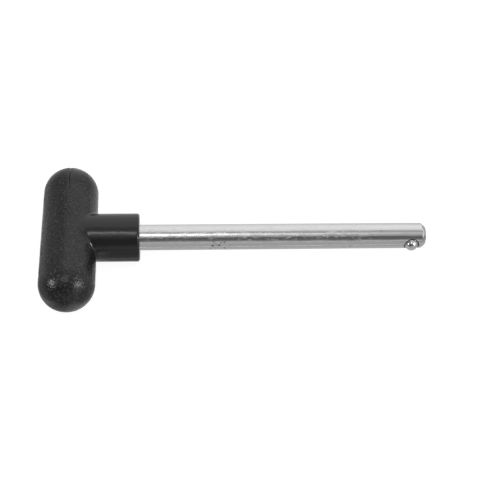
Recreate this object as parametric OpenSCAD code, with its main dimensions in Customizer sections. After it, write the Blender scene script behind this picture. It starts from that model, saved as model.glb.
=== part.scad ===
// Weight stack pin: a steel rod in a moulded T-handle, with a sprung ball near its tip.
// The rod's axis is X and points at the tip. The cross bar runs along Y.
// The origin is on the rod's axis, at the end face of the handle's neck.

/* [Handle] */
// Diameter of the cross bar
bar_d = 17.2; // [16:0.1:24]
// Length of the cross bar over its round ends
bar_length = 50.5; // [40:0.5:90]
// Diameter of the neck that grips the rod
neck_d = 15; // [13:0.5:16]
// Distance from the bar's axis to the neck's end face
neck_reach = 21.8; // [18:0.1:34]
// Radius on the edge of the neck's end face
neck_edge_r = 0.8; // [0.4:0.1:1.2]
// Radius of the blend where the neck leaves the bar
blend_r = 0.7; // [0.4:0.1:1.2]

/* [Rod] */
// Diameter of the rod
rod_d = 8; // [7:0.1:9]
// Length of rod that stands out of the handle
rod_exposed = 89.6; // [40:0.1:160]
// Length of rod moulded into the handle
rod_embedded = 24; // [18:0.5:26]
// Length of the chamfer on the tip, along the rod
tip_chamfer_length = 0.85; // [0.4:0.05:1.5]
// Depth of the chamfer on the tip, across the rod
tip_chamfer_depth = 1.05; // [0.4:0.05:1.5]
// How much the rod's radius tapers from the detent to the chamfer, to lead it into a hole
lead_taper = 0.08; // [0.04:0.02:0.2]
// Plain rod between the start of that taper and the staked metal
lead_margin = 0.3; // [0.1:0.1:2]

/* [Anchor in the handle] */
// Diameter of the rod's root, turned down to leave a shoulder
root_d = 7.4; // [6.4:0.1:7.6]
// Depth of that shoulder under the neck's end face
shoulder_depth = 0.15; // [0.05:0.05:1]
// Depth of the chamfer on the root's end
root_chamfer = 0.5; // [0.2:0.1:1]
// Number of ring grooves that the moulding fills
groove_count = 3; // [1:1:4]
// Width of a ring groove
groove_width = 1.6; // [0.8:0.1:2.4]
// Depth of a ring groove
groove_depth = 0.6; // [0.3:0.1:1]
// Distance from one ring groove to the next
groove_pitch = 4; // [2.6:0.1:4.4]
// Distance from the neck's end face to the first ring groove
groove_start = 4; // [3:0.5:6]
// Length of the two flats that keep the rod from turning
flat_length = 6; // [3:0.5:7]
// Depth of each flat
flat_depth = 0.8; // [0.4:0.1:1.2]

/* [Detent] */
// Diameter of the ball
ball_d = 4; // [3.2:0.1:4.4]
// Height of the ball over the rod's surface
ball_proud = 1.35; // [0.8:0.05:1.6]
// Distance from the tip to the middle of the ball
ball_from_tip = 4.5; // [4:0.25:12]
// Depth of the pocket's straight wall, from the rod's surface
pocket_depth = 6; // [5.6:0.1:6.2]
// Point angle of the drill that made the pocket
drill_point = 118; // [90:1:150]
// Gap between the ball and the pocket's wall, and the lip staked over it
pocket_clearance = 0.04; // [0.03:0.01:0.06]
// Plain band between the pocket's mouth and the staking ring
stake_margin = 0.12; // [0.1:0.02:0.3]
// Width of the ring that the staking punch leaves
stake_width = 0.3; // [0.2:0.05:0.5]
// Depth of that ring
stake_depth = 0.16; // [0.08:0.02:0.3]

/* [Spring] */
// Diameter of the spring's wire
wire_d = 0.4; // [0.3:0.05:0.45]
// Gap between the spring and the pocket's wall
spring_clearance = 0.15; // [0.1:0.05:0.25]
// Number of turns, with the closed ones
spring_turns = 5.5; // [4:0.5:5.5]
// Closed turns at each end
closed_turns = 1; // [0.5:0.25:1]
// Gap between the spring and what it presses on
spring_seat_gap = 0.02; // [0.01:0.01:0.05]

/* [Hidden] */
$fn = 96;

bar_r = bar_d / 2;
neck_r = neck_d / 2;
rod_r = rod_d / 2;
root_r = root_d / 2;
ball_r = ball_d / 2;
wire_r = wire_d / 2;

// Half of the bar's straight stretch, between the middles of its round ends
bar_half = bar_length / 2 - bar_r;

// The ball's middle lies this far from the rod's axis, on the side of -Y
ball_reach = rod_r + ball_proud - ball_r;
ball_x = rod_exposed - ball_from_tip;
pocket_r = ball_r + pocket_clearance;
pocket_floor = pocket_depth - rod_r;
drill_slope = tan(drill_point / 2);
stake_inner_r = pocket_r + stake_margin;
stake_outer_r = stake_inner_r + stake_width;
lead_start = ball_x - stake_outer_r - lead_margin;

// The blend is sunk by this much, so that it crosses the two surfaces and doesn't only touch them
blend_sink = 0.025;
blend_core = 1.2;
blend_steps = 72;
blend_arc_steps = 5;

// Coil radius of the wire's middle, and where its first and last turns sit
coil_r = pocket_r - spring_clearance - wire_r;
ball_seat_reach = sqrt(pow(ball_r + wire_r + spring_seat_gap, 2) - pow(coil_r, 2));
spring_top = ball_reach - ball_seat_reach;
cone_rise = (pocket_r - coil_r) / drill_slope;
floor_standoff = (wire_r + spring_seat_gap) / sin(drill_point / 2);
spring_floor = pocket_floor + cone_rise - floor_standoff;
steps_per_turn = 16;
wire_sides = 6;
over = 1;

// Turns +Z, the axis of revolved shapes, to +X
module along_rod() {
    rotate([0, 90, 0]) children();
}

// Turns +Z to -Y, the way the ball points, over the middle of the detent
module along_detent() {
    translate([ball_x, 0, 0]) rotate([90, 0, 0]) children();
}

// Turns a profile drawn with X as the radius about Z, keeping its right half
module revolve(height) {
    rotate_extrude() intersection() {
        children();
        translate([0, -height]) square([height, 2 * height]);
    }
}

// Cross bar with hemispherical ends, about Z
module bar() {
    revolve(bar_length) {
        square([bar_d, 2 * bar_half], center = true);
        for (end = [-1, 1]) translate([0, end * bar_half]) circle(r = bar_r);
    }
}

// Neck from a round root on the bar's axis to its end face, with a rounded edge
module neck() {
    translate([0, 0, -neck_reach]) revolve(2 * neck_reach) {
        circle(r = neck_r);
        square([neck_r, neck_reach - neck_edge_r]);
        square([neck_r - neck_edge_r, neck_reach]);
        translate([neck_r - neck_edge_r, neck_reach - neck_edge_r]) circle(r = neck_edge_r);
    }
}

function unit(v) = v / norm(v);
function along_arc(from, to, share) = let (angle = acos(from * to))
    (sin((1 - share) * angle) * from + sin(share * angle) * to) / sin(angle);

// Middle of the ball that rolls in the corner, at an angle about the rod's axis
function blend_centre(turn) = let (reach = neck_r + blend_r - blend_sink)
    [
        sqrt(max(0.01, pow(bar_r + blend_r - blend_sink, 2) - pow(reach * cos(turn), 2))),
        reach * sin(turn),
        reach * cos(turn)
    ];

// One section of the blend: its hollow arc from the neck to the bar, then a point inside the plastic
function blend_section(turn) = let (
        centre = blend_centre(turn),
        to_neck = [0, -sin(turn), -cos(turn)],
        to_bar = -unit([centre.x, 0, centre.z])
    ) concat(
        [for (step = [0:blend_arc_steps])
            centre + blend_r * along_arc(to_neck, to_bar, step / blend_arc_steps)],
        [centre + (blend_r + blend_core) * unit(to_neck + to_bar)]
    );

// Faces of a closed ring of sections, or of a rod of them with flat ends
function sweep_sides(sections, corners, closed) = [
    for (section = [0:sections - (closed ? 1 : 2)], corner = [0:corners - 1])
        let (
            near = section * corners,
            far = ((section + 1) % sections) * corners,
            next = (corner + 1) % corners
        )
        each [
            [near + corner, far + next, far + corner],
            [near + corner, near + next, far + next]
        ]
];

// Concave blend round the neck's root, as a ball rolling in the corner would leave it
module neck_blend() {
    corners = blend_arc_steps + 2;
    points = [
        for (step = [0:blend_steps - 1]) each blend_section(step * 360 / blend_steps)
    ];
    translate([-neck_reach, 0, 0])
        polyhedron(points, sweep_sides(blend_steps, corners, true));
}

// The rod's root, which the handle is moulded round: ring grooves, two flats and a chamfer
module rod_root() {
    difference() {
        along_rod() rotate_extrude() difference() {
            polygon([
                [0, 0],
                [rod_r, 0],
                [rod_r, -shoulder_depth],
                [root_r, -shoulder_depth],
                [root_r, root_chamfer - rod_embedded],
                [root_r - root_chamfer, -rod_embedded],
                [0, -rod_embedded],
            ]);
            for (i = [0:groove_count - 1])
                translate([root_r - groove_depth, -groove_start - i * groove_pitch - groove_width])
                    square([groove_depth + over, groove_width]);
        }
        for (side = [0, 180])
            rotate([side, 0, 0])
                translate([-rod_embedded - over, -rod_r, root_r - flat_depth])
                    cube([flat_length + over, rod_d, rod_d]);
    }
}

// Moulded T-handle, one piece of plastic
module handle() {
    color("#2b2b2c") difference() {
        union() {
            translate([-neck_reach, 0, 0]) rotate([90, 0, 0]) bar();
            along_rod() neck();
            neck_blend();
        }
        rod_root();
    }
}

// The rod's exposed length: plain, then slightly tapered past the detent, with a chamfered tip
module rod_length() {
    along_rod() rotate_extrude() polygon([
        [0, 0],
        [rod_r, 0],
        [rod_r, lead_start],
        [rod_r - lead_taper, rod_exposed - tip_chamfer_length],
        [rod_r - tip_chamfer_depth, rod_exposed],
        [0, rod_exposed],
    ]);
}

// Pocket for the spring and ball: drilled, and closed in round the ball at its mouth
module detent_pocket() {
    along_detent() revolve(2 * rod_d) {
        polygon([
            [0, ball_reach],
            [0, -pocket_floor - pocket_r / drill_slope],
            [pocket_r, -pocket_floor],
            [pocket_r, ball_reach],
        ]);
        translate([0, ball_reach]) circle(r = pocket_r);
    }
}

// Ring that the staking punch presses into the rod round the pocket's mouth
module staking_ring() {
    difference() {
        along_detent() difference() {
            cylinder(r = stake_outer_r, h = rod_d);
            translate([0, 0, -over]) cylinder(r = stake_inner_r, h = rod_d + 2 * over);
        }
        along_rod() cylinder(r = rod_r - stake_depth, h = rod_exposed);
    }
}

// Turned steel rod with its anchor, its pocket and its tip
module shaft() {
    color("#c9cbcc") difference() {
        union() {
            rod_root();
            rod_length();
        }
        detent_pocket();
        staking_ring();
    }
}

module detent_ball() {
    color("#dfe1e2") along_detent() translate([0, 0, ball_reach]) sphere(r = ball_r);
}

// How far up the spring a turn lies: the end turns are closed, and the rest share what is left
function coil_rise(turn) = let (
        span = spring_top + spring_floor,
        closed_rise = closed_turns * wire_d,
        open_pitch = (span - 2 * closed_rise) / (spring_turns - 2 * closed_turns),
        open_turn = min(max(turn - closed_turns, 0), spring_turns - 2 * closed_turns)
    )
    min(turn, closed_turns) * wire_d + open_turn * open_pitch
        + max(turn - spring_turns + closed_turns, 0) * wire_d;

// One section of the wire, at a number of turns from the pocket's floor
function wire_section(turn) = [
    for (side = [0:wire_sides - 1])
        let (
            angle = side * 360 / wire_sides,
            radius = coil_r + wire_r * cos(angle)
        )
        [radius * cos(turn * 360), radius * sin(turn * 360), coil_rise(turn) + wire_r * sin(angle)]
];

// Compression spring under the ball
module detent_spring() {
    sections = floor(spring_turns * steps_per_turn) + 1;
    points = [for (i = [0:sections - 1]) each wire_section(i / steps_per_turn)];
    last = (sections - 1) * wire_sides;
    faces = concat(
        [[for (side = [0:wire_sides - 1]) wire_sides - 1 - side]],
        sweep_sides(sections, wire_sides, false),
        [[for (side = [0:wire_sides - 1]) last + side]]
    );
    color("#9a9c9e") along_detent() translate([0, 0, -spring_floor]) polyhedron(points, faces);
}

handle();
shaft();
detent_ball();
detent_spring();
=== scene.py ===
"""Weight stack pin: a plated steel rod in a moulded black T-handle, with a sprung ball near its tip.

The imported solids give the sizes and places. This script makes the grained moulding, the turned and
plated steel, the polished ball and the wire spring, and lights them in a plain white studio.

Meshes are worked out in millimetres in the frame of the solids, with X along the rod to its tip,
Y along the cross bar and Z up. They are handed to Blender in metres.
"""

import logging
import math
from collections.abc import Callable
from dataclasses import dataclass
from enum import Enum
from functools import partial

import bmesh
import bpy
import numpy as np
from mathutils import Matrix, Vector, noise

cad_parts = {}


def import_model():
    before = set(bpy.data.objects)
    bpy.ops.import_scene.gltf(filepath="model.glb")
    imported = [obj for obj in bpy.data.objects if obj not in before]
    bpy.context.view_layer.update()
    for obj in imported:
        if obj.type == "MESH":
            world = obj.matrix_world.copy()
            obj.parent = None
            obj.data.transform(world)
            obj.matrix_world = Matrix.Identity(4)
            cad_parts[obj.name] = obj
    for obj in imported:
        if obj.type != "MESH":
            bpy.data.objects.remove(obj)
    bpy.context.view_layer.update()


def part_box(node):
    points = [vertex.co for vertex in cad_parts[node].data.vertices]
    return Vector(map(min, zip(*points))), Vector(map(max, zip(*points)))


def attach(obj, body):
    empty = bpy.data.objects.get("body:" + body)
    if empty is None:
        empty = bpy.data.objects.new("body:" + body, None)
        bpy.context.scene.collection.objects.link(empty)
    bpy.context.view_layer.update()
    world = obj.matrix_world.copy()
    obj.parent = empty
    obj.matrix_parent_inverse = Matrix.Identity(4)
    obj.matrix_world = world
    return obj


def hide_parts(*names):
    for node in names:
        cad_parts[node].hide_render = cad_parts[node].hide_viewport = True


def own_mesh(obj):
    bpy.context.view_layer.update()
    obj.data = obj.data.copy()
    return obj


MM = 0.001
WHITE = (1.0, 1.0, 1.0, 1.0)
LOG = logging.getLogger("weight_stack_pin")

Point = tuple[float, float]
Stops = tuple[Point, ...]
Sizes = tuple[float, float, float]
Socket = bpy.types.NodeSocket
AddNode = Callable[..., bpy.types.bpy_prop_collection]


class Body(Enum):
    """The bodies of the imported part."""

    PIN = "pin"
    BALL = "ball"


class Node(Enum):
    """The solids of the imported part."""

    HANDLE = "handle"
    SHAFT = "shaft"
    BALL = "detent_ball"
    SPRING = "detent_spring"


class Slot(Enum):
    """The record's material slots."""

    PLASTIC = "moulded_plastic"
    PLATED = "plated_steel"
    BEARING = "bearing_steel"
    WIRE = "spring_steel"


def linear(hex_colour: str) -> tuple[float, ...]:
    """Turns an sRGB colour, written as "#rrggbb", to linear red, green, blue and an alpha of 1."""
    channels = [int(hex_colour[i : i + 2], 16) / 255 for i in (1, 3, 5)]
    return (*[c / 12.92 if c <= 0.04045 else ((c + 0.055) / 1.055) ** 2.4 for c in channels], 1.0)


def set_inputs(tree: bpy.types.NodeTree, node: bpy.types.Node, inputs: dict) -> None:
    """Fills or links the inputs of a node.

    Args:
        tree: The node's tree.
        node: The node.
        inputs: A value, or an output to link from, for each input's name or number.
    """
    for key, value in inputs.items():
        if isinstance(value, Socket):
            tree.links.new(value, node.inputs[key])
        else:
            node.inputs[key].default_value = value


def add_node(
    tree: bpy.types.NodeTree,
    kind: str,
    inputs: dict | None = None,
    stops: list[Point] | None = None,
    **settings: object,
) -> bpy.types.bpy_prop_collection:
    """Adds a node with its settings and links.

    Args:
        tree: The node tree to add to.
        kind: The node's type, without its leading "ShaderNode".
        inputs: A value, or an output to link from, for each input's name or number.
        stops: The places and grey levels of a colour ramp.
        settings: The node's own properties.

    Returns:
        The new node's outputs.
    """
    node = tree.nodes.new("ShaderNode" + kind)
    for name, value in settings.items():
        setattr(node, name, value)
    set_inputs(tree, node, inputs or {})
    if stops:
        elements = node.color_ramp.elements
        while len(elements) < len(stops):
            elements.new(1.0)
        for element, (place, level) in zip(elements, stops):
            element.position = place
            element.color = (level, level, level, 1.0)
    return node.outputs


def new_finish(name: str) -> tuple[bpy.types.Material, AddNode, Socket]:
    """Starts a material.

    Args:
        name: The real material, and how its surface was made.

    Returns:
        The material, what adds a node to it, and the point on the piece, in metres.
    """
    material = bpy.data.materials.new(name)
    material.use_nodes = True
    add = partial(add_node, material.node_tree)
    return material, add, add("TexCoord")["Object"]


def set_shader(material: bpy.types.Material, inputs: dict) -> bpy.types.Material:
    """Fills or links the inputs of a material's shader, and gives the material back."""
    set_inputs(material.node_tree, material.node_tree.nodes["Principled BSDF"], inputs)
    return material


def grain(add: AddNode, place: Socket, sizes: Sizes, detail: float) -> Socket:
    """Draws noise with its own grain size along each axis.

    Args:
        add: What adds a node.
        place: The point on the piece, in metres.
        sizes: The grain's size along X, Y and Z, in millimetres.
        detail: How many finer layers the noise has.

    Returns:
        The noise, which lies about 0.5.
    """
    scale = [1 / (size * MM) for size in sizes]
    scaled = add("VectorMath", {0: place, 1: scale}, operation="MULTIPLY")[0]
    return add("TexNoise", {"Vector": scaled, "Scale": 1.0, "Detail": detail})["Fac"]


def look_up(add: AddNode, value: Socket, stops: Stops, unit: float = 1.0) -> Socket:
    """Reads a level off a list of stops.

    Args:
        add: What adds a node.
        value: What is looked up.
        stops: The places, in rising order, and the levels there.
        unit: What one unit of the places is in the value's units.

    Returns:
        The level.
    """
    low, high = stops[0][0], stops[-1][0]
    top = max(level for _, level in stops)
    share = add("MapRange", {"Value": value, "From Min": low * unit, "From Max": high * unit})[0]
    scaled = [((place - low) / (high - low), level / top) for place, level in stops]
    bands = add("ValToRGB", {0: share}, stops=scaled)[0]
    return add("Math", {0: bands, 1: top}, operation="MULTIPLY")[0]


def smooth_step(values: np.ndarray, low: float, high: float) -> np.ndarray:
    """Rises smoothly from 0 at low to 1 at high."""
    share = np.clip((values - low) / (high - low), 0.0, 1.0)
    return share * share * (3.0 - 2.0 * share)


def rounded_corner(before: Point, corner: Point, after: Point, radius: float, steps: int) -> list[Point]:
    """Rounds the corner of a profile.

    Args:
        before: A point on the line that comes in.
        corner: The sharp corner.
        after: A point on the line that goes out.
        radius: The radius to round to.
        steps: How many stretches the arc has.

    Returns:
        The arc's points, from the line that comes in to the line that goes out.
    """
    middle = Vector(corner)
    inward = (Vector(before) - middle).normalized()
    outward = (Vector(after) - middle).normalized()
    half = inward.angle(outward) / 2
    centre = middle + (inward + outward).normalized() * radius / math.sin(half)
    start = middle + inward * radius / math.tan(half) - centre
    end = middle + outward * radius / math.tan(half) - centre
    turn = start.angle_signed(end)
    return [tuple(centre + Matrix.Rotation(-turn * step / steps, 2) @ start) for step in range(steps + 1)]


class MeshDraft:
    """Points and faces of a mesh in millimetres, built ring by ring."""

    def __init__(self) -> None:
        """Starts with no points."""
        self.points: list[np.ndarray] = []
        self.faces: list[tuple[int, ...]] = []
        self.count = 0

    def add(self, points: np.ndarray) -> np.ndarray:
        """Adds points.

        Args:
            points: One row of three coordinates for each point.

        Returns:
            The new points' numbers.
        """
        first = self.count
        self.points.append(np.asarray(points, float))
        self.count += len(points)
        return np.arange(first, self.count)

    def bridge(self, near: np.ndarray, far: np.ndarray) -> None:
        """Joins two closed rings, given by their point numbers, with a band of faces."""
        for here, there in zip(range(len(near)), [*range(1, len(near)), 0]):
            self.faces.append((near[here], near[there], far[there], far[here]))

    def close(self, ring: np.ndarray, centre: Sizes) -> None:
        """Closes a ring with a fan of triangles.

        Args:
            ring: The ring's point numbers.
            centre: The fan's middle point.
        """
        (middle,) = self.add(np.array([centre]))
        for here, there in zip(range(len(ring)), [*range(1, len(ring)), 0]):
            self.faces.append((ring[here], ring[there], middle))

    def to_object(self, name: str, sharp_degrees: float = 40.0) -> bpy.types.Object:
        """Makes a smooth-shaded object of the draft, with its normals outwards.

        Args:
            name: The object's name.
            sharp_degrees: Edges that turn more than this stay sharp.

        Returns:
            The object, in metres.
        """
        mesh = bpy.data.meshes.new(name)
        points = np.concatenate(self.points) * MM
        mesh.from_pydata(points.tolist(), [], [tuple(map(int, face)) for face in self.faces])
        draft = bmesh.new()
        draft.from_mesh(mesh)
        bmesh.ops.remove_doubles(draft, verts=draft.verts, dist=1e-4 * MM)
        bmesh.ops.recalc_face_normals(draft, faces=draft.faces)
        draft.to_mesh(mesh)
        draft.free()
        mesh.shade_smooth()
        mesh.set_sharp_from_angle(angle=math.radians(sharp_degrees))
        made = bpy.data.objects.new(name, mesh)
        bpy.context.scene.collection.objects.link(made)
        return made


def mark_points(piece: bpy.types.Object, measures: dict[str, Callable[[np.ndarray], np.ndarray]]) -> None:
    """Writes measures of a piece's points into its mesh, for its material to read.

    Args:
        piece: The piece.
        measures: For each attribute's name, what works it out from the points in millimetres.
    """
    points = np.array([v.co for v in piece.data.vertices]) / MM
    for name, measure in measures.items():
        layer = piece.data.attributes.new(name, "FLOAT", "POINT")
        layer.data.foreach_set("value", measure(points).astype(np.float32))


def set_up_piece(
    piece: bpy.types.Object, node: Node, body: Body, finish: bpy.types.Material
) -> None:
    """Dresses a piece and lets it stand for its solid.

    Args:
        piece: The new piece.
        node: The solid that it replaces.
        body: The body that it moves with.
        finish: Its material.
    """
    piece.data.materials.clear()
    piece.data.materials.append(finish)
    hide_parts(node.value)
    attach(piece, body.value)
    LOG.info("%s: %d faces, rides on %s", piece.name, len(piece.data.polygons), body.value)


@dataclass(frozen=True)
class PolypropyleneMoulding:
    """Black polypropylene, injection moulded: deep black with a clear sheen off the polished mould.

    The bar's grain breaks the sheen into specks. Its creases are painted darker, a painted shade, and
    its high spots are painted a little lighter: partly rubbed by hands, partly a painted sheen. The flow
    is the faint unevenness of a thick moulding.
    """

    colour: str = "#1a1a1a"
    crease_shade_colour: str = "#070707"
    wear_and_sheen_colour: str = "#424242"
    ior: float = 1.49
    grained_roughness: float = 0.14
    smooth_roughness: float = 0.09
    flow_roughness: float = 0.08
    fleck_mm: float = 0.6
    fleck_depth_mm: float = 0.11
    wear_and_sheen_above: float = 0.49
    wear_and_sheen_through: float = 0.71
    flow_mm: float = 3.4
    flow_depth_mm: float = 0.1

    def build(self) -> bpy.types.Material:
        """Makes the material.

        Returns:
            The moulded plastic, which reads the attributes grain and crease from its mesh.
        """
        material, add, place = new_finish("polypropylene_moulded_black")
        grained = add("Attribute", attribute_name="grain")["Fac"]
        crease = add("Attribute", attribute_name="crease")["Fac"]
        fine = {"Vector": place, "Scale": 1 / (self.fleck_mm * MM), "Detail": 2.5, "Roughness": 0.6}
        flecks = add("TexNoise", fine)["Fac"]
        flow = grain(add, place, (self.flow_mm,) * 3, 2.0)
        normal = add("Bump", {"Height": flow, "Distance": self.flow_depth_mm * MM})["Normal"]
        flecked = {"Height": flecks, "Strength": grained, "Distance": self.fleck_depth_mm * MM}
        normal = add("Bump", {**flecked, "Normal": normal})["Normal"]
        polished = {"To Min": self.smooth_roughness, "To Max": self.grained_roughness}
        base = add("MapRange", {"Value": grained, **polished})["Result"]
        flowing = {0: flow, 1: self.flow_roughness, 2: base}
        roughness = add("Math", flowing, operation="MULTIPLY_ADD")["Value"]
        # High spots of the grain are painted lighter: partly rubbed wear, partly a painted sheen.
        limits = {"From Min": self.wear_and_sheen_above, "From Max": self.wear_and_sheen_through}
        high_spots = add("MapRange", {"Value": flecks, **limits})["Result"]
        wear_and_sheen = add("Math", {0: high_spots, 1: grained}, operation="MULTIPLY")["Value"]
        wear_and_sheen_mix = {0: wear_and_sheen, 6: linear(self.colour), 7: linear(self.wear_and_sheen_colour)}
        rubbed_and_sheened = add("Mix", wear_and_sheen_mix, data_type="RGBA")[2]
        # Painted shade: the grain's creases and the parting groove are painted darker.
        crease_shaded = {0: crease, 6: rubbed_and_sheened, 7: linear(self.crease_shade_colour)}
        colour = add("Mix", crease_shaded, data_type="RGBA")[2]
        look = {"Base Color": colour, "Roughness": roughness, "Normal": normal, "IOR": self.ior}
        return set_shader(material, look)


@dataclass(frozen=True)
class Ding:
    """A small mark in the plating. Its place along the rod and its reach are in millimetres.

    Its angle about the rod is in degrees, from -Y towards +Z.
    """

    along: float
    degrees: float
    reach: float


@dataclass(frozen=True)
class PlatedSteel:
    """Turned steel, bright zinc plated: a mirror drawn out into streaks, with wavy edges to what it shows.

    The waves are left by straightening and tumbling, and fade out over the machined tip. The streaks
    are left by polishing along the rod. Real streaks and frost are too fine to show, so they are drawn
    as coarse as the view needs. Grain sizes are in millimetres along the rod and twice across it, and
    the bruise is a cluster of pits through the plating.
    """

    rod_radius: float
    colour: str = "#dfdfdf"
    pit_and_shade_colour: str = "#262524"
    roughness: float = 0.07
    streak_roughness: float = 0.09
    dull_above: float = 0.35
    dull_through: float = 0.7
    streak: Sizes = (8.0, 0.3, 0.3)
    streak_depth: float = 0.009
    blotch: Sizes = (1.8, 0.6, 0.6)
    blotch_depth: float = 0.011
    wave: Sizes = (6.0, 3.0, 3.0)
    wave_depth: float = 0.075
    wave_start: Sizes = (11.0, 4.0, 0.0)
    calm_from: float = 69.0
    calm_to: float = 79.0
    calm_share: float = 0.5
    frost: Sizes = (1.6, 0.6, 0.6)
    frost_roughness: float = 0.34
    frost_above: float = 0.44
    frost_through: float = 0.72
    pit_depth: float = 0.015
    outline: float = 0.4
    outline_bend: float = 1.0
    bruise: tuple[Ding, ...] = (
        Ding(22.6, 12.0, 0.64),
        Ding(24.5, 14.5, 0.6),
        Ding(26.3, -4.0, 0.5),
        Ding(26.2, 31.5, 0.42),
        Ding(21.8, -6.0, 0.4),
        Ding(22.8, 32.0, 0.3),
        Ding(23.4, 23.0, 0.32),
        Ding(23.9, 15.0, 0.26),
        Ding(25.1, 29.0, 0.32),
        Ding(24.1, 0.0, 0.24),
        Ding(28.0, 16.0, 0.28),
    )
    dings: tuple[Ding, ...] = (
        Ding(49.2, 52.0, 0.34),
        Ding(50.1, 51.0, 0.4),
        Ding(63.7, -4.3, 0.34),
        Ding(65.4, 3.5, 0.34),
        Ding(67.9, 53.0, 0.3),
        Ding(75.2, 77.0, 0.28),
        Ding(44.2, 67.0, 0.26),
    )

    def build(self) -> bpy.types.Material:
        """Makes the material.

        Returns:
            The plated steel of the rod, which reads the attribute staked, its painted shade, from its mesh.
        """
        material, add, place = new_finish("steel_turned_zinc_plated")
        start = [c * MM for c in self.wave_start]
        moved = add("VectorMath", {0: place, 1: start}, operation="ADD")[0]
        streaks = grain(add, place, self.streak, 3.0)
        blotches = grain(add, moved, self.blotch, 2.0)
        waves = grain(add, moved, self.wave, 1.0)
        frost = grain(add, moved, self.frost, 1.0)
        along = add("SeparateXYZ", {"Vector": place})["X"]
        stretch = {"From Min": self.calm_from * MM, "From Max": self.calm_to * MM}
        calm = add("MapRange", {"Value": along, **stretch, "To Min": 1.0, "To Max": self.calm_share})[0]
        pits = self._pits(add, place)
        uneven = ((waves, self.wave_depth), (blotches, self.blotch_depth), (streaks, self.streak_depth))
        below = {}
        for height, depth in uneven:
            bump = {"Height": height, "Distance": depth * MM, "Strength": calm}
            below = {"Normal": add("Bump", {**bump, **below})["Normal"]}
        pitted = {"Height": pits, "Distance": self.pit_depth * MM, **below}
        normal = add("Bump", pitted, invert=True)["Normal"]
        limits = {"From Min": self.dull_above, "From Max": self.dull_through}
        dull = add("MapRange", {"Value": streaks, **limits, "To Max": self.streak_roughness})[0]
        frosty = add("Math", {0: frost, 1: calm}, operation="MULTIPLY")["Value"]
        limits = {"From Min": self.frost_above, "From Max": self.frost_through}
        levels = {"To Min": self.roughness, "To Max": self.frost_roughness}
        frosted = add("MapRange", {"Value": frosty, **limits, **levels})[0]
        roughness = add("Math", {0: dull, 1: frosted}, operation="ADD")["Value"]
        # The staked attribute is painted shade: the punched groove and the pocket get the pits' dark colour.
        staked = add("Attribute", attribute_name="staked")["Fac"]
        pits_and_shade = add("Math", {0: pits, 1: staked}, operation="MAXIMUM")["Value"]
        pit_and_shade_colours = {0: pits_and_shade, 6: linear(self.colour), 7: linear(self.pit_and_shade_colour)}
        colour = add("Mix", pit_and_shade_colours, data_type="RGBA")[2]
        look = {"Base Color": colour, "Roughness": roughness, "Normal": normal, "Metallic": 1.0}
        return set_shader(material, look)

    def _near(self, add: AddNode, place: Socket, ding: Ding) -> Socket:
        """Says how near a point lies to a mark.

        Args:
            add: What adds a node.
            place: The point on the piece, in metres.
            ding: The mark.

        Returns:
            1 at the mark's middle, down to 0 at its reach.
        """
        angle = math.radians(ding.degrees)
        spot = (ding.along, -self.rod_radius * math.cos(angle), self.rod_radius * math.sin(angle))
        middle = [c * MM for c in spot]
        away = add("VectorMath", {0: place, 1: middle}, operation="DISTANCE")["Value"]
        return add("MapRange", {"Value": away, "From Max": ding.reach * MM, "To Min": 1.0, "To Max": 0.0})[0]

    def _pits(self, add: AddNode, place: Socket) -> Socket:
        """Makes the bruise and the single dings, with ragged outlines.

        Args:
            add: What adds a node.
            place: The point on the piece, in metres.

        Returns:
            1 in the middle of a pit, down to 0 at its outline.
        """
        ragged = {"Vector": place, "Scale": 1 / (self.outline * MM), "Detail": 1.0}
        noisy = add("TexNoise", ragged)["Color"]
        centred = add("VectorMath", {0: noisy, 1: (0.5, 0.5, 0.5)}, operation="SUBTRACT")[0]
        bend = {0: centred, "Scale": self.outline_bend * MM}
        shift = add("VectorMath", bend, operation="SCALE")[0]
        bent = add("VectorMath", {0: place, 1: shift}, operation="ADD")[0]
        total = 0.0
        for ding in (*self.bruise, *self.dings):
            total = add("Math", {0: total, 1: self._near(add, bent, ding)}, operation="MAXIMUM")[0]
        return total


@dataclass(frozen=True)
class BearingSteel:
    """Hardened bearing steel, lapped: a clear mirror with a few handling marks."""

    colour: str = "#e2e2e2"
    lowest_roughness: float = 0.02
    roughness_spread: float = 0.06
    mark_mm: float = 0.35
    mark_depth_mm: float = 0.002
    mark_strength: float = 0.2

    def build(self) -> bpy.types.Material:
        """Makes the material.

        Returns:
            The polished steel of the ball.
        """
        material, add, place = new_finish("bearing_steel_lapped")
        marks = grain(add, place, (self.mark_mm,) * 3, 5.0)
        uneven = {0: marks, 1: self.roughness_spread, 2: self.lowest_roughness}
        roughness = add("Math", uneven, operation="MULTIPLY_ADD")["Value"]
        bump = {"Height": marks, "Strength": self.mark_strength, "Distance": self.mark_depth_mm * MM}
        look = {"Roughness": roughness, "Normal": add("Bump", bump)["Normal"], "Metallic": 1.0}
        return set_shader(material, {"Base Color": linear(self.colour), **look})


@dataclass(frozen=True)
class DrawnWire:
    """Hard-drawn spring wire: plain grey steel with a dull gloss, and fine draw lines round the coil.

    The lines' sizes are in millimetres, and they are drawn coarser than real ones.
    """

    colour: str = "#bababa"
    lowest_roughness: float = 0.2
    roughness_spread: float = 0.2
    line: Sizes = (0.25, 0.0625, 0.25)

    def build(self) -> bpy.types.Material:
        """Makes the material.

        Returns:
            The spring's wire.
        """
        material, add, place = new_finish("spring_wire_drawn")
        lines = grain(add, place, self.line, 3.0)
        uneven = {0: lines, 1: self.roughness_spread, 2: self.lowest_roughness}
        roughness = add("Math", uneven, operation="MULTIPLY_ADD")["Value"]
        look = {"Base Color": linear(self.colour), "Roughness": roughness, "Metallic": 1.0}
        return set_shader(material, look)


@dataclass(frozen=True)
class Row:
    """One ring of a turned form: its place along the rod, its radius and the height of any flats."""

    along: float
    radius: float
    flat: float = math.inf


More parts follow.
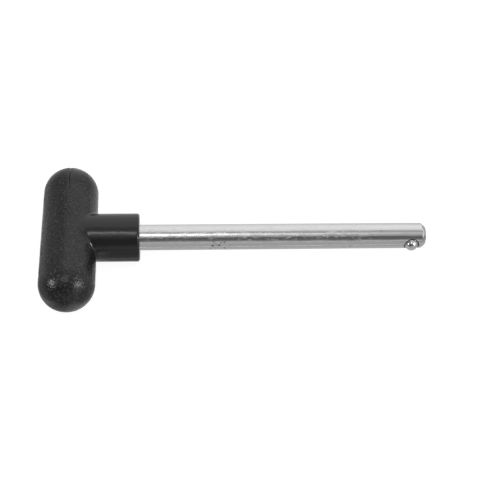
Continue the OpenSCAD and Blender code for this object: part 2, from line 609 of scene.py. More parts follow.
@dataclass(frozen=True)
class RodRoot:
    """The turned-down root of the rod, which the handle is moulded round. Sizes are in millimetres."""

    rod_radius: float
    embedded: float
    radius: float = 3.7
    shoulder: float = 0.15
    chamfer: float = 0.5
    groove_count: int = 3
    groove_width: float = 1.6
    groove_depth: float = 0.6
    groove_pitch: float = 4.0
    groove_start: float = 4.0
    flat_length: float = 6.0
    flat_depth: float = 0.8

    def rows(self) -> list[Row]:
        """Lists the root's rings.

        Returns:
            The rings from under the neck's end face to the root's end.
        """
        found = [Row(-self.shoulder, self.rod_radius), Row(-self.shoulder, self.radius)]
        floor = self.radius - self.groove_depth
        for number in range(self.groove_count):
            start = -self.groove_start - number * self.groove_pitch
            end = start - self.groove_width
            found += [Row(start, self.radius), Row(start, floor), Row(end, floor), Row(end, self.radius)]
        flat = self.radius - self.flat_depth
        flat_end = self.flat_length - self.embedded
        found += [Row(flat_end, self.radius), Row(flat_end, self.radius, flat)]
        found.append(Row(self.chamfer - self.embedded, self.radius, flat))
        found.append(Row(-self.embedded, self.radius - self.chamfer, flat))
        return found


def turned_ring(row: Row, angles: np.ndarray) -> np.ndarray:
    """Places one ring of a turned form, from each point's angle about the rod, from -Y towards +Z."""
    height = np.clip(row.radius * np.sin(angles), -row.flat, row.flat)
    return np.stack([np.full(len(angles), row.along), -row.radius * np.cos(angles), height], axis=1)


@dataclass
class HandleMoulding:
    """The T-handle: a grained cross bar with round ends, and a smooth neck that grips the rod.

    Sizes are in millimetres. The bar's and the neck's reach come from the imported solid.
    """

    root: RodRoot
    bar_radius: float
    bar_half: float
    neck_reach: float
    neck_radius: float = 7.5
    edge_radius: float = 0.8
    edge_steps: int = 8
    blend_radius: float = 0.7
    past_blend: float = 0.5
    neck_step: float = 0.4
    lip: float = 0.06
    lip_edge: float = 0.3
    voxel: float = 0.22
    block_segments: int = 96
    block_over: float = 3.0
    settling: int = 5
    grain_from: float = 0.1
    grain_full: float = 1.3
    grain_depth: float = 0.1
    cell: float = 0.8
    cell_bend: float = 0.45
    bend_size: float = 0.6
    crease_width: float = 0.42
    patch: float = 5.0
    patch_level: float = 0.65
    patch_swing: float = 0.7
    patch_least: float = 0.2
    flow: float = 4.5
    flow_depth: float = 0.02
    parting_length: float = 5.0
    parting_width: float = 0.24
    parting_depth: float = 0.22

    def build(self) -> bpy.types.Object:
        """Makes the moulding's mesh.

        Returns:
            The handle, with the attributes grain and crease for its material.
        """
        draft = MeshDraft()
        rim = self._add_skin(draft)
        self._add_neck(draft, rim)
        piece = draft.to_object("handle_moulding")
        # The crease attribute also carries the material's painted crease shade.
        mark_points(piece, {"grain": self.grained, "crease": self._creases})
        return piece

    def distance(self, points: np.ndarray) -> np.ndarray:
        """Measures how far points lie from the moulding's outer form, with an endless neck.

        Args:
            points: The points, one a row.

        Returns:
            The distances, below 0 inside.
        """
        bar, neck = self._bar_and_neck(points)
        bar_gap = np.maximum(self.blend_radius - bar, 0)
        neck_gap = np.maximum(self.blend_radius - neck, 0)
        nearest = np.maximum(self.blend_radius, np.minimum(bar, neck))
        return nearest - np.hypot(bar_gap, neck_gap)

    def grained(self, points: np.ndarray) -> np.ndarray:
        """Says where the mould was grained: 1 on the bar, fading out to 0 on the smooth neck."""
        bar, neck = self._bar_and_neck(points)
        return smooth_step(neck, self.grain_from, self.grain_full) * (bar < self.blend_radius)

    def _bar_and_neck(self, points: np.ndarray) -> tuple[np.ndarray, np.ndarray]:
        """Measures the distances to the bar alone and to the neck alone.

        Args:
            points: The points, one a row.

        Returns:
            The distance to the bar and the distance to the neck.
        """
        along = points[:, 0] + self.neck_reach
        across, up = points[:, 1], points[:, 2]
        past = np.maximum(np.abs(across) - self.bar_half, 0)
        bar = np.sqrt(along**2 + up**2 + past**2) - self.bar_radius
        neck = np.maximum(np.hypot(across, up) - self.neck_radius, -along)
        return bar, neck

    def _outward(self, points: np.ndarray) -> np.ndarray:
        """Finds the directions straight out of the form.

        Args:
            points: The points, one a row.

        Returns:
            One unit vector for each point.
        """
        step = 0.01
        slope = np.empty_like(points)
        for axis, offset in enumerate(step * np.eye(3)):
            slope[:, axis] = self.distance(points + offset) - self.distance(points - offset)
        return slope / np.maximum(np.linalg.norm(slope, axis=1, keepdims=True), 1e-9)

    def _creases(self, points: np.ndarray) -> np.ndarray:
        """Draws the grain's creases, and the line where the halves of the mould met.

        Args:
            points: The points, one a row.

        Returns:
            1 in the middle of a crease and 0 on the pebbles between.
        """
        share = self.grained(points)
        found = self._parting(points)
        for number in np.flatnonzero(share > 0):
            spot = Vector(points[number])
            bend = self.cell_bend * noise.noise_vector(spot / (self.bend_size * self.cell))
            nearest, second = noise.voronoi(spot / self.cell + bend)[0][:2]
            depth = 1 - min(1.0, (second - nearest) / self.crease_width)
            patch = self.patch_level + self.patch_swing * noise.noise(spot / self.patch)
            crease = share[number] * depth * min(1.0, max(self.patch_least, patch))
            found[number] = max(found[number], crease)
        return found

    def _parting(self, points: np.ndarray) -> np.ndarray:
        """Draws the fine groove over the bar's far end, where the halves of the mould met.

        Args:
            points: The points, one a row.

        Returns:
            1 at the groove's bottom and 0 outside.
        """
        near_end = smooth_step(points[:, 1], self.bar_half - self.parting_length, self.bar_half)
        aside = np.abs(points[:, 0] + self.neck_reach)
        return near_end * np.clip(1 - aside / self.parting_width, 0, 1)

    def _relief(self, points: np.ndarray) -> np.ndarray:
        """Works out how far the mould's texture lies below the plain form.

        Args:
            points: The points, one a row.

        Returns:
            Depths in millimetres, never below 0.
        """
        flow = np.array([0.5 + 0.5 * noise.noise(Vector(point) / self.flow) for point in points])
        parting = self.parting_depth * self._parting(points)
        return self.flow_depth * flow + np.maximum(self.grain_depth * self._creases(points), parting)

    def _add_cylinder(self, block: bmesh.types.BMesh, radius: float, length: float, place: Matrix) -> None:
        """Adds a closed cylinder that stood along Z before it was placed."""
        size = {"segments": self.block_segments, "radius1": radius, "radius2": radius, "depth": length}
        bmesh.ops.create_cone(block, cap_ends=True, matrix=place, **size)

    def _block(self) -> bpy.types.Mesh:
        """Joins the bar and an over-long neck into one even mesh.

        Returns:
            The meshed block, in millimetres.
        """
        block = bmesh.new()
        to_bar = Matrix.Translation((-self.neck_reach, 0, 0))
        along_bar = to_bar @ Matrix.Rotation(math.pi / 2, 4, "X")
        self._add_cylinder(block, self.bar_radius, 2 * self.bar_half, along_bar)
        for end in (-self.bar_half, self.bar_half):
            place = to_bar @ Matrix.Translation((0, end, 0))
            bmesh.ops.create_icosphere(block, subdivisions=5, radius=self.bar_radius, matrix=place)
        to_neck = Matrix.Translation(((self.block_over - self.neck_reach) / 2, 0, 0))
        along_neck = to_neck @ Matrix.Rotation(math.pi / 2, 4, "Y")
        self._add_cylinder(block, self.neck_radius, self.neck_reach + self.block_over, along_neck)
        rough = bpy.data.meshes.new("block")
        block.to_mesh(rough)
        block.free()
        holder = bpy.data.objects.new("block", rough)
        bpy.context.scene.collection.objects.link(holder)
        remesh = holder.modifiers.new("even", "REMESH")
        remesh.mode = "VOXEL"
        remesh.voxel_size = self.voxel
        evaluated = holder.evaluated_get(bpy.context.evaluated_depsgraph_get())
        even = bpy.data.meshes.new_from_object(evaluated)
        bpy.data.objects.remove(holder)
        bpy.data.meshes.remove(rough)
        return even

    def _add_skin(self, draft: MeshDraft) -> np.ndarray:
        """Adds the bar, the blend and the first of the neck.

        Args:
            draft: The mesh to add to.

        Returns:
            The numbers of the points on the open rim, in order round the neck.
        """
        even = self._block()
        skin = bmesh.new()
        skin.from_mesh(even)
        bpy.data.meshes.remove(even)
        cut = self._cut()
        whole = [*skin.verts, *skin.edges, *skin.faces]
        plane = {"plane_co": (cut, 0, 0), "plane_no": (1, 0, 0)}
        bmesh.ops.bisect_plane(skin, geom=whole, dist=0.02, clear_outer=True, **plane)
        for aside in (-self.parting_width, 0.0, self.parting_width):
            reach = self.bar_half - self.parting_length
            ends = [f for f in skin.faces if f.calc_center_median().y > reach]
            edges = {edge for face in ends for edge in face.edges}
            points = {point for face in ends for point in face.verts}
            plane = {"plane_co": (aside - self.neck_reach, 0, 0), "plane_no": (1, 0, 0)}
            bmesh.ops.bisect_plane(skin, geom=[*points, *edges, *ends], dist=0.03, **plane)
        rim = [v for v in skin.verts if v.is_boundary]
        bmesh.ops.remove_doubles(skin, verts=rim, dist=0.3 * self.voxel)
        skin.verts.index_update()
        rim = np.array([v.index for v in skin.verts if v.is_boundary])
        points = np.array([v.co for v in skin.verts])
        for _ in range(self.settling):
            points -= self.distance(points)[:, None] * self._outward(points)
        points[rim, 0] = cut
        round_rim = np.arctan2(points[rim, 2], -points[rim, 1])
        points[rim, 1] = -self.neck_radius * np.cos(round_rim)
        points[rim, 2] = self.neck_radius * np.sin(round_rim)
        points -= self._relief(points)[:, None] * self._outward(points)
        numbers = draft.add(points)
        draft.faces.extend(tuple(numbers[v.index] for v in face.verts) for face in skin.faces)
        skin.free()
        return numbers[rim[np.argsort(round_rim)]]

    def _cut(self) -> float:
        """Gives the place along the rod, clear of the blend, where the turned part of the neck begins."""
        return self.bar_radius + self.blend_radius + self.past_blend - self.neck_reach

    def _add_neck(self, draft: MeshDraft, rim: np.ndarray) -> None:
        """Adds the rest of the neck, its end face and the hollow round the rod's root.

        Args:
            draft: The mesh to add to.
            rim: The ring of points to start from.
        """
        placed = np.concatenate(draft.points)[rim]
        angles = np.arctan2(placed[:, 2], -placed[:, 1])
        cut = self._cut()
        count = round((-self.edge_radius - cut) / self.neck_step)
        outside = [Row(x, self.neck_radius) for x in np.linspace(cut, -self.edge_radius, count)[1:]]
        corner = (0.0, self.neck_radius)
        before = (-1.0, self.neck_radius)
        edge = rounded_corner(before, corner, (0.0, 0.0), self.edge_radius, self.edge_steps)
        outside += [Row(*point) for point in edge[1:]]
        bore, lip = self.root.rod_radius, self.lip
        face = [Row(0.0, r) for r in np.linspace(self.neck_radius - self.edge_radius, bore + lip, 6)[1:]]
        inward = Row(-self.lip_edge * lip, bore + self.lip_edge * lip)
        near = rim
        for row in [*outside, *face, inward, Row(-lip, bore), *self.root.rows()]:
            ring = turned_ring(row, angles)
            if row.radius == self.neck_radius:
                ring -= self._relief(ring)[:, None] * self._outward(ring)
            far = draft.add(ring)
            draft.bridge(near, far)
            near = far
        draft.close(near, (-self.root.embedded, 0.0, 0.0))


@dataclass
class SteelRod:
    """The turned rod, with its root, the staked pocket for the ball and the chamfered tip.

    Sizes are in millimetres. The tip's place and the ball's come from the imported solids. The window is
    the patch of the rod's skin that the pocket's mouth is worked into.
    """

    root: RodRoot
    tip: float
    ball_along: float
    ball_reach: float
    ball_radius: float
    chamfer_length: float = 0.85
    chamfer_depth: float = 1.05
    chamfer_edge: float = 0.12
    crown_length: float = 1.25
    crown_drop: float = 0.2
    lead_taper: float = 0.08
    lead_margin: float = 0.3
    pocket_clearance: float = 0.04
    pocket_floor: float = 2.0
    drill_degrees: float = 118.0
    stake_margin: float = 0.12
    stake_width: float = 0.3
    stake_depth: float = 0.16
    stake_edge: float = 0.02
    groove_shade_full: float = 0.4
    groove_shade_end: float = 0.62
    far_patch_below: float = 3.9
    sharp_degrees: float = 25.0
    segments: int = 192
    plain_rows: int = 40
    window_reach: float = 3.0
    window_columns: int = 24
    window_rows: int = 24

    def build(self) -> bpy.types.Object:
        """Makes the rod's mesh.

        Returns:
            The rod, with the attribute staked, the painted shade of its groove and pocket, for its material.
        """
        draft = MeshDraft()
        angles = np.arange(self.segments) * 2 * math.pi / self.segments
        window = np.linspace(-self.window_reach, self.window_reach, self.window_rows + 1)
        window += self.ball_along
        plain = np.linspace(0.0, window[0], self.plain_rows + 1)[:-1]
        root = self.root.rows()[::-1]
        body = [Row(x, self.radius_at(x)) for x in [*plain, *window]]
        rings = [draft.add(turned_ring(row, angles)) for row in [*root, *body, *self._tip_rows()]]
        first = len(root) + self.plain_rows
        for number, (near, far) in enumerate(zip(rings, rings[1:])):
            if first <= number < first + self.window_rows:
                self._bridge_beside_window(draft, near, far)
            else:
                draft.bridge(near, far)
        draft.close(rings[0], (-self.root.embedded, 0.0, 0.0))
        draft.close(rings[-1], (self.tip, 0.0, 0.0))
        self._add_pocket(draft, rings[first : first + self.window_rows + 1])
        self._drop_loose(draft)
        piece = draft.to_object("steel_rod", self.sharp_degrees)
        mark_points(piece, {"staked": self._groove_and_pocket_shade})
        return piece

    def radius_at(self, along: float | np.ndarray) -> float | np.ndarray:
        """Gives the exposed rod's radius at a place along it, which tapers slightly past the detent."""
        stake_outer = self._pocket_radius() + self.stake_margin + self.stake_width
        start = self.ball_along - stake_outer - self.lead_margin
        share = np.clip((along - start) / (self.tip - self.chamfer_length - start), 0, 1)
        return self.root.rod_radius - self.lead_taper * share

    def _groove_and_pocket_shade(self, points: np.ndarray) -> np.ndarray:
        """Says where the rod is painted dark: a painted shade in the punched groove and down the pocket.

        Args:
            points: The points, one a row.

        Returns:
            1 in the punched ring, in the pocket and on two small patches of skin straight opposite,
            and 0 elsewhere.
        """
        reach = np.hypot(points[:, 0] - self.ball_along, points[:, 2])
        middle = self._pocket_radius() + self.stake_margin + self.stake_width / 2
        full, end = self.groove_shade_full * self.stake_width, self.groove_shade_end * self.stake_width
        ring = 1 - smooth_step(np.abs(reach - middle), full, end)
        sunk = (reach < self._pocket_radius() + 0.01) & (points[:, 1] > -self.ball_reach)
        far_side = sunk & (points[:, 1] < self.far_patch_below)
        return np.where(points[:, 1] < 0, np.maximum(ring, sunk), far_side)

    def _pocket_radius(self) -> float:
        """Gives the pocket's radius."""
        return self.ball_radius + self.pocket_clearance

    def _tip_rows(self) -> list[Row]:
        """Lists the rings of the tip, whose chamfer is slightly crowned from deburring."""
        along = self.tip - self.crown_length
        radius = self.radius_at(along)
        start = Vector((along, radius))
        shoulder = Vector((self.tip - self.chamfer_length, radius - self.crown_drop))
        end = Vector((self.tip, self.root.rod_radius - self.chamfer_depth))
        shares = (0.0, 0.015, *np.linspace(0.13, 0.85, 7))
        crown = [start.lerp(shoulder, s).lerp(shoulder.lerp(end, s), s) for s in shares]
        edge = rounded_corner(shoulder, end, (self.tip, 0.0), self.chamfer_edge, 4)
        face = [(self.tip, share * end.y) for share in (0.8, 0.5, 0.2)]
        return [Row(*point) for point in [(along - 0.04, radius), *crown, *edge, *face]]

    def _bridge_beside_window(self, draft: MeshDraft, near: np.ndarray, far: np.ndarray) -> None:
        """Joins two rings, given by their point numbers, apart from the window."""
        for here in range(self.window_columns, self.segments - self.window_columns):
            draft.faces.append((near[here], near[here + 1], far[here + 1], far[here]))

    def _add_pocket(self, draft: MeshDraft, rings: list[np.ndarray]) -> None:
        """Fills the window with the staked metal, the pocket's mouth and its wall.

        Args:
            draft: The mesh to add to.
            rings: The rod's rings along the window.
        """
        side = self.window_columns
        columns = np.arange(-side, side + 1)
        low = [ring[-side] for ring in rings]
        high = [ring[side] for ring in rings]
        rim = [*rings[0][columns], *high[1:-1], *rings[-1][columns[::-1]], *reversed(low[1:-1])]
        placed = np.concatenate(draft.points)[rim]
        along = placed[:, 0] - self.ball_along
        across = placed[:, 2]
        reach = np.hypot(along, across)
        spokes = np.stack([along, across], axis=1) / reach[:, None]
        near = np.array(rim)
        for ring in [*self._staked_rings(spokes, reach), *self._wall_rings(spokes)]:
            far = draft.add(ring)
            draft.bridge(near, far)
            near = far
        slope = math.tan(math.radians(self.drill_degrees / 2))
        deepest = self.pocket_floor + self._pocket_radius() / slope
        draft.close(near, (self.ball_along, deepest, 0.0))

    def _on_surface(self, spokes: np.ndarray, reach: np.ndarray, sunk: float) -> np.ndarray:
        """Places points on the rod's skin or a little under it, seen along the pocket.

        Args:
            spokes: Directions from the pocket's axis, along the rod and across it.
            reach: Distances from the axis.
            sunk: How far under the skin the points lie.

        Returns:
            The points.
        """
        along = self.ball_along + spokes[:, 0] * reach
        across = spokes[:, 1] * reach
        radius = self.radius_at(along) - sunk
        return np.stack([along, -np.sqrt(radius**2 - across**2), across], axis=1)

    def _staked_rings(self, spokes: np.ndarray, rim_reach: np.ndarray) -> list[np.ndarray]:
        """Works out the rings from the window's rim to the pocket's mouth, over the punched groove.

        Args:
            spokes: Directions from the pocket's axis.
            rim_reach: Distances of the rim's points from the axis.

        Returns:
            The rings of points.
        """
        inner = self._pocket_radius() + self.stake_margin
        outer = inner + self.stake_width
        soft = self.stake_edge
        first = outer + 4 * soft
        found = [
            self._on_surface(spokes, rim_reach * (1 - share) + first * share, 0.0)
            for share in (0.25, 0.5, 0.75, 1.0)
        ]
        depth = self.stake_depth
        profile = (
            (outer + 1.5 * soft, 0.0),
            (outer, 0.12 * depth),
            (outer - 0.8 * soft, 0.8 * depth),
            (outer - 2.5 * soft, depth),
            (inner + 2.5 * soft, depth),
            (inner + 0.8 * soft, 0.8 * depth),
            (inner, 0.12 * depth),
            (inner - soft, 0.0),
        )
        for reach, sunk in profile:
            found.append(self._on_surface(spokes, np.full(len(spokes), reach), sunk))
        mouth = self._mouth_reach(spokes)
        found.append(self._on_surface(spokes, mouth + 1.2 * soft, 0.0))
        found.append(self._on_surface(spokes, mouth + 0.3 * soft, 0.3 * soft))
        return found

    def _mouth_reach(self, spokes: np.ndarray) -> np.ndarray:
        """Finds where the closed-in mouth meets the rod's skin.

        Args:
            spokes: Directions from the pocket's axis.

        Returns:
            The mouth's reach in each direction.
        """
        radius = self._pocket_radius()
        reach = np.full(len(spokes), radius)
        for _ in range(12):
            height = -self._on_surface(spokes, reach, 0.0)[:, 1] - self.ball_reach
            reach = np.sqrt(radius**2 - np.maximum(height, 0) ** 2)
        return reach

    def _wall_rings(self, spokes: np.ndarray) -> list[np.ndarray]:
        """Works out the rings from the mouth down the pocket's wall.

        Args:
            spokes: Directions from the pocket's axis.

        Returns:
            The rings of points.
        """
        radius = self._pocket_radius()
        mouth = np.arccos(self._mouth_reach(spokes) / radius)
        found = []
        for share in (0.06, 0.35, 0.7, 1.0):
            angle = mouth * (1 - share)
            found.append((radius * np.cos(angle), -self.ball_reach - radius * np.sin(angle)))
        wall = [(radius, y) for y in np.linspace(-self.ball_reach, self.pocket_floor, 7)[1:]]
        rise = 0.5 * radius / math.tan(math.radians(self.drill_degrees / 2))
        for reach, y in [*wall, (0.5 * radius, self.pocket_floor + rise)]:
            found.append((np.full(len(spokes), reach), np.full(len(spokes), y)))
        return [
            np.stack([self.ball_along + spokes[:, 0] * reach, y, spokes[:, 1] * reach], axis=1)
            for reach, y in found
        ]

    def _drop_loose(self, draft: MeshDraft) -> None:
        """Drops the points that the window leaves without a face.

        Args:
            draft: The mesh to tidy.
        """
        used = np.unique(np.concatenate([np.array(face) for face in draft.faces]))
        number = np.full(draft.count, -1)
        number[used] = np.arange(len(used))
        draft.points = [np.concatenate(draft.points)[used]]
        draft.faces = [tuple(number[list(face)]) for face in draft.faces]
        draft.count = len(used)


@dataclass
class DetentBall:
    """The steel ball that stands out of the rod. Sizes are in millimetres."""

    centre: Sizes
    radius: float
    subdivisions: int = 6

    def build(self) -> bpy.types.Object:
        """Makes the ball's mesh.

        Returns:
            The ball.
        """
        sphere = bmesh.new()
        bmesh.ops.create_icosphere(sphere, subdivisions=self.subdivisions, radius=self.radius)
        draft = MeshDraft()
        numbers = draft.add(np.array([v.co for v in sphere.verts]) + np.array(self.centre))
        draft.faces = [tuple(numbers[v.index] for v in face.verts) for face in sphere.faces]
        sphere.free()
        return draft.to_object("polished_ball")


@dataclass
class DetentSpring:
    """The compression spring between the pocket's floor and the ball. Sizes are in millimetres."""

    along: float
    floor_end: float
    ball_end: float
    coil_radius: float
    wire_radius: float = 0.2
    turns: float = 5.5
    closed_turns: float = 1.0
    steps_per_turn: int = 40
    wire_sides: int = 14

    def build(self) -> bpy.types.Object:
        """Makes the spring's mesh.

        Returns:
            The spring.
        """
        draft = MeshDraft()
        count = round(self.turns * self.steps_per_turn)
        rings = [draft.add(self._section(step / self.steps_per_turn)) for step in range(count + 1)]
        for near, far in zip(rings, rings[1:]):
            draft.bridge(near, far)
        for ring in (rings[0], rings[-1]):
            draft.close(ring, tuple(np.concatenate(draft.points)[ring].mean(axis=0)))
        return draft.to_object("wire_spring")

    def _rise(self, turn: float) -> float:
        """Gives how far the wire has climbed, with closed turns at both ends.

        Args:
            turn: How many turns from the floor.

        Returns:
            The climb in millimetres.
        """
        span = self.floor_end - self.ball_end
        wire = 2 * self.wire_radius
        open_turns = self.turns - 2 * self.closed_turns
        pitch = (span - 2 * self.closed_turns * wire) / open_turns
        opened = min(max(turn - self.closed_turns, 0.0), open_turns)
        closed = min(turn, self.closed_turns) + max(turn - self.turns + self.closed_turns, 0.0)
        return closed * wire + opened * pitch

    def _section(self, turn: float) -> np.ndarray:
        """Places one section of the wire, at so many turns from the floor."""
        around = np.arange(self.wire_sides) * 2 * math.pi / self.wire_sides
        reach = self.coil_radius + self.wire_radius * np.cos(around)
        angle = 2 * math.pi * turn
        height = self.floor_end - self._rise(turn) - self.wire_radius * np.sin(around)
        return np.stack([self.along + reach * math.cos(angle), height, reach * math.sin(angle)], axis=1)


def towards(azimuth: float, elevation: float) -> Vector:
    """Gives a direction from the pin, by its degrees from -Y towards +X and its degrees up."""
    turn, rise = math.radians(azimuth), math.radians(elevation)
    return Vector((math.sin(turn) * math.cos(rise), -math.cos(turn) * math.cos(rise), math.sin(rise)))


@dataclass(frozen=True)
class ProductView:
    """The camera, as it looked at the pin. Places are in millimetres and angles in degrees."""

    target: Sizes = (31.17, -1.26, 0.0)
    distance: float = 326.9
    azimuth: float = -7.1
    elevation: float = 55.77
    roll: float = 5.41
    lens: float = 78.5
    sensor: float = 36.0
    nearest: float = 10.0

    def build(self) -> None:
        """Makes the camera and gives it to the scene."""
        turn, lean = math.radians(self.azimuth), math.radians(self.roll)
        back = towards(self.azimuth, self.elevation)
        level = Vector((math.cos(turn), math.sin(turn), 0.0))
        right = level * math.cos(lean) + back.cross(level) * math.sin(lean)
        place = Vector(self.target) * MM + back * self.distance * MM
        data = bpy.data.cameras.new("product_view")
        data.lens = self.lens
        data.sensor_width = self.sensor
        data.clip_start = self.nearest * MM
        camera = bpy.data.objects.new("product_view", data)
        turned = Matrix((right, back.cross(right), back)).transposed().to_4x4()
        camera.matrix_world = Matrix.Translation(place) @ turned
        bpy.context.scene.collection.objects.link(camera)
        bpy.context.scene.camera = camera


@dataclass(frozen=True)
class Lamp:
    """A soft lamp. Directions are in degrees, seen from the pin, and sizes in metres."""

    name: str
    azimuth: float
    elevation: float
    width: float
    height: float
    distance: float
    watts: float
    in_reflections: bool

    def build(self, target: Vector) -> None:
        """Makes the lamp and points it at the pin.

        Args:
            target: The point to light.
        """
        back = towards(self.azimuth, self.elevation)
        data = bpy.data.lights.new(self.name, "AREA")
        data.shape = "ELLIPSE"
        data.size = self.width
        data.size_y = self.height
        data.energy = self.watts
        lamp = bpy.data.objects.new(self.name, data)
        lamp.location = target + back * self.distance
        lamp.rotation_euler = back.to_track_quat("Z", "Y").to_euler()
        lamp.visible_camera = False
        lamp.visible_glossy = self.in_reflections
        bpy.context.scene.collection.objects.link(lamp)


@dataclass(frozen=True)
class WhiteStudio:
    """A white table under an overhead softbox, with a dark room behind the camera.

    The surroundings' stops are at degrees over the rod, from the front horizon (0) through the zenith
    (90) to the back horizon (180). The softbox's reach, the dimmed end and the side wall are placed by
    the X of a direction. The table's stops are painted shadow and light, seen only in reflections. They
    are in millimetres, along Y for what lies beside the rod and beside the bar, and along X for both.
    The lit point is in millimetres past the bar.
    """

    bar_radius: float
    bar_along: float
    tip_radius: float
    tip_along: float
    floor_size: float = 4.0
    ambient: float = 0.5
    room: Stops = (
        *((-180, 0.88), (-122, 0.88), (-60, 0.48), (4, 0.55), (9, 0.51), (19, 0.21), (28, 0.125)),
        *((47.5, 0.125), (57, 0.4), (92, 0.41), (101, 0.47), (110, 0.86), (140, 0.99), (180, 0.86)),
    )
    dim_from: float = -0.3
    dim_to: float = -0.08
    dim_share: float = 0.5
    side_wall: Stops = (
        *((-180, 0.45), (-30, 0.5), (0, 0.98), (98, 0.98), (106, 0.42)),
        *((126, 0.45), (133, 0.98), (150, 0.98), (168, 0.5), (180, 0.45)),
    )
    side_from: float = 0.42
    side_to: float = 0.62
    softbox: Stops = (
        *((-180, 0.0), (61, 0.0), (67, 0.8), (73, 1.1), (75, 3.1)),
        *((81.5, 3.1), (83.5, 0.5), (90, 0.2), (94, 0.0), (180, 0.0)),
    )
    softbox_along: Stops = (
        *((-1, 0.1), (-0.35, 0.1), (-0.2, 0.6), (-0.1, 1.0), (-0.01, 1.0), (0.035, 0.5)),
        *((0.067, 0.26), (0.155, 0.12), (0.25, 0.08), (0.4, 0.0), (1, 0.0)),
    )
    lit_point: float = 45.0
    lamps: tuple[Lamp, ...] = (
        Lamp("overhead", 0.0, 84.0, 0.5, 0.3, 0.6, 1.6, False),
        Lamp("left", -71.6, 26.5, 0.075, 0.075, 0.336, 0.19, True),
        Lamp("right", 60.5, 34.5, 0.07, 0.07, 0.273, 0.16, True),
    )
    # Painted shadow and light on the table, seen only in reflections: dark near the pin, lit strips beyond.
    rod_shadow_and_light: Stops = (
        *((-50, 0.44), (-40, 0.44), (-12.6, 0.41), (-11.4, 0.88), (-10.2, 0.41), (-8.0, 0.41)),
        *((-6.5, 0.52), (0, 0.43), (2, 0.9), (5, 0.9), (9, 0.74), (20, 0.74)),
    )
    bar_shadow_and_light: Stops = (
        *((-50, 0.45), (-44, 0.45), (-37, 0.98), (-28, 0.98), (-21, 0.7), (4, 0.7), (14, 0.95)),
        (20, 0.95),
    )
    side_shadow_and_light: Stops = (
        *((-60, 0.5), (-54, 0.5), (-44, 0.65), (-36, 0.95), (-32, 0.95), (-29, 0.34), (-19.5, 0.32)),
        *((-16.5, 1.0), (-13, 1.0), (-10.5, 0.5), (-3, 0.5), (5, 1.0), (118, 1.0), (123, 0.62)),
        (140, 0.62),
    )
    beside_bar: float = 7.0
    beside_rod: float = 12.0
    seen_white: float = 0.93
    shadow_share: float = 0.14

    def build(self) -> None:
        """Makes the surroundings, the lamps and the table."""
        self._surroundings()
        for lamp in self.lamps:
            lamp.build(Vector((self.bar_along + self.lit_point, 0.0, 0.0)) * MM)
        self._table()

    def _surroundings(self) -> None:
        """Fills the world: white to the camera, and a room with a softbox in what shines."""
        world = bpy.data.worlds.new("white_studio")
        world.use_nodes = True
        world.cycles.sampling_method = "NONE"
        world.node_tree.nodes.clear()
        add = partial(add_node, world.node_tree)
        parts = add("SeparateXYZ", {0: add("TexCoord")["Generated"]})
        front = add("Math", {0: parts["Y"], 1: -1.0}, operation="MULTIPLY")[0]
        turn = add("Math", {0: parts["Z"], 1: front}, operation="ARCTAN2")[0]
        angle = add("Math", {0: turn}, operation="DEGREES")[0]
        ends = {"From Min": self.dim_from, "From Max": self.dim_to, "To Min": self.dim_share}
        dim = add("MapRange", {"Value": parts["X"], **ends, "To Max": 1.0})[0]
        room = add("Math", {0: look_up(add, angle, self.room), 1: dim}, operation="MULTIPLY")[0]
        ends = {"From Min": self.side_from, "From Max": self.side_to}
        aside = add("MapRange", {"Value": parts["X"], **ends})[0]
        walls = add("Mix", {0: aside, 2: room, 3: look_up(add, angle, self.side_wall)})[0]
        box = look_up(add, angle, self.softbox)
        reach = look_up(add, parts["X"], self.softbox_along)
        shown = add("Math", {0: box, 1: reach, 2: walls}, operation="MULTIPLY_ADD")[0]
        path = add("LightPath")
        shine = add("Mix", {0: path["Is Glossy Ray"], 2: self.ambient, 3: shown})[0]
        seen = add("Mix", {0: path["Is Camera Ray"], 2: shine, 3: 1.0})[0]
        add("OutputWorld", {"Surface": add("Background", {"Color": WHITE, "Strength": seen})[0]})
        bpy.context.scene.world = world

    def _table(self) -> None:
        """Makes the white table, which touches the bar and the tip from below."""
        run = self.tip_along - self.bar_along
        reach = math.hypot(run, self.tip_radius)
        slope = math.asin(self.bar_radius / reach) - math.atan2(self.tip_radius, run)
        half = self.floor_size / 2
        mesh = bpy.data.meshes.new("table")
        ends = [(-half, -half, 0), (half, -half, 0), (half, half, 0), (-half, half, 0)]
        mesh.from_pydata(ends, [], [(0, 1, 2, 3)])
        mesh.materials.append(self._table_finish())
        table = bpy.data.objects.new("table", mesh)
        bpy.context.scene.collection.objects.link(table)
        below = Vector((math.sin(slope), 0.0, -math.cos(slope))) * self.bar_radius
        contact = Vector((self.bar_along, 0.0, 0.0)) + below
        table.matrix_world = Matrix.Translation(contact * MM) @ Matrix.Rotation(-slope, 4, "Y")

    def _table_finish(self) -> bpy.types.Material:
        """Makes the table's white laminate, which shows white and keeps a soft shadow.

        In reflections it glows with painted shadow and light, darker near the pin.

        Returns:
            The material.
        """
        material, add, place = new_finish("laminate_white")
        path = add("LightPath")
        parts = add("SeparateXYZ", {0: place})
        across, along = parts["Y"], parts["X"]
        ends = {"From Min": self.beside_bar * MM, "From Max": self.beside_rod * MM}
        by_rod = add("MapRange", {"Value": along, **ends})[0]
        bar, rod = [look_up(add, across, stops, MM) for stops in (self.bar_shadow_and_light, self.rod_shadow_and_light)]
        shadow_and_light_tone = add("Mix", {0: by_rod, 2: bar, 3: rod})[0]
        side = look_up(add, along, self.side_shadow_and_light, MM)
        shine = add("Math", {0: shadow_and_light_tone, 1: side}, operation="MULTIPLY")[0]
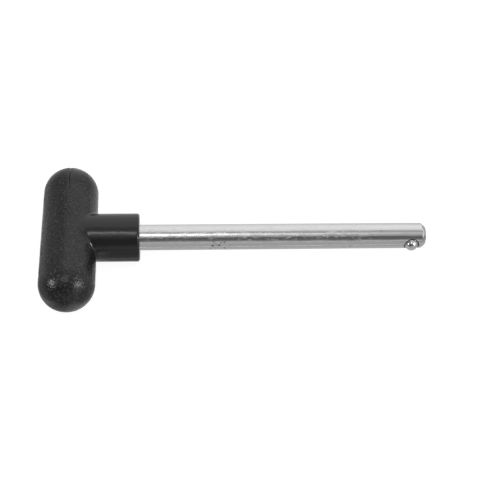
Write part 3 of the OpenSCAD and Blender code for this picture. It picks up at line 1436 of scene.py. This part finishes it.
        # Reflections see the table glow with the painted shadow and light tones.
        glossy = add("Math", {0: path["Is Glossy Ray"], 1: shine}, operation="MULTIPLY")[0]
        seen = {0: path["Is Camera Ray"], 1: self.seen_white, 2: glossy}
        glow = add("Math", seen, operation="MULTIPLY_ADD")[0]
        share = {"Value": path["Is Glossy Ray"], "To Min": self.shadow_share, "To Max": 0.0}
        diffuse = add("BsdfDiffuse", {"Color": add("MapRange", share)[0]})[0]
        emission = add("Emission", {"Color": WHITE, "Strength": glow})[0]
        tree = material.node_tree
        tree.nodes.remove(tree.nodes["Principled BSDF"])
        both = add("AddShader", {0: emission, 1: diffuse})[0]
        set_inputs(tree, tree.nodes["Material Output"], {"Surface": both})
        material.cycles.emission_sampling = "NONE"
        return material


def box_mm(node: Node) -> tuple[Vector, Vector]:
    """Gives the lowest and the highest corner of a solid's box, in millimetres."""
    low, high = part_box(node.value)
    return low / MM, high / MM


def main() -> None:
    """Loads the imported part, makes its pieces and lights them."""
    logging.basicConfig(level=logging.INFO, format="%(name)s: %(message)s")
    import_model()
    bpy.context.scene.view_settings.view_transform = "Standard"

    ball_low, ball_high = box_mm(Node.BALL)
    shaft_low, shaft_high = box_mm(Node.SHAFT)
    handle_low, handle_high = box_mm(Node.HANDLE)
    spring_low, spring_high = box_mm(Node.SPRING)
    bar_radius = (handle_high.z - handle_low.z) / 2
    neck_reach = -handle_low.x - bar_radius
    ball_radius = (ball_high.x - ball_low.x) / 2
    ball_centre = (ball_low + ball_high) / 2

    root = RodRoot(rod_radius=shaft_high.z, embedded=-shaft_low.x)
    bar_half = handle_high.y - bar_radius
    handle = HandleMoulding(root=root, bar_radius=bar_radius, bar_half=bar_half, neck_reach=neck_reach)
    rod = SteelRod(
        root=root,
        tip=shaft_high.x,
        ball_along=ball_centre.x,
        ball_reach=-ball_centre.y,
        ball_radius=ball_radius,
    )
    ball = DetentBall(centre=tuple(ball_centre), radius=ball_radius)
    # The solid's wire is six-sided, so its box ends at the corners 60 degrees round the wire.
    wire_radius = DetentSpring.wire_radius
    flat_wire = wire_radius * math.sin(math.radians(60))
    spring = DetentSpring(
        along=ball_centre.x,
        floor_end=spring_high.y - flat_wire,
        ball_end=spring_low.y + flat_wire,
        coil_radius=(spring_high.x - spring_low.x) / 2 - wire_radius,
    )

    set_up_piece(handle.build(), Node.HANDLE, Body.PIN, PolypropyleneMoulding().build())
    plating = PlatedSteel(rod_radius=root.rod_radius)
    set_up_piece(rod.build(), Node.SHAFT, Body.PIN, plating.build())
    set_up_piece(ball.build(), Node.BALL, Body.BALL, BearingSteel().build())
    coil = spring.build()
    set_up_piece(coil, Node.SPRING, Body.PIN, DrawnWire().build())
    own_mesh(coil)

    ProductView().build()
    WhiteStudio(
        bar_radius=bar_radius,
        bar_along=-neck_reach,
        tip_radius=root.rod_radius - rod.lead_taper,
        tip_along=rod.tip - rod.chamfer_length,
    ).build()


if __name__ == "__main__":
    main()
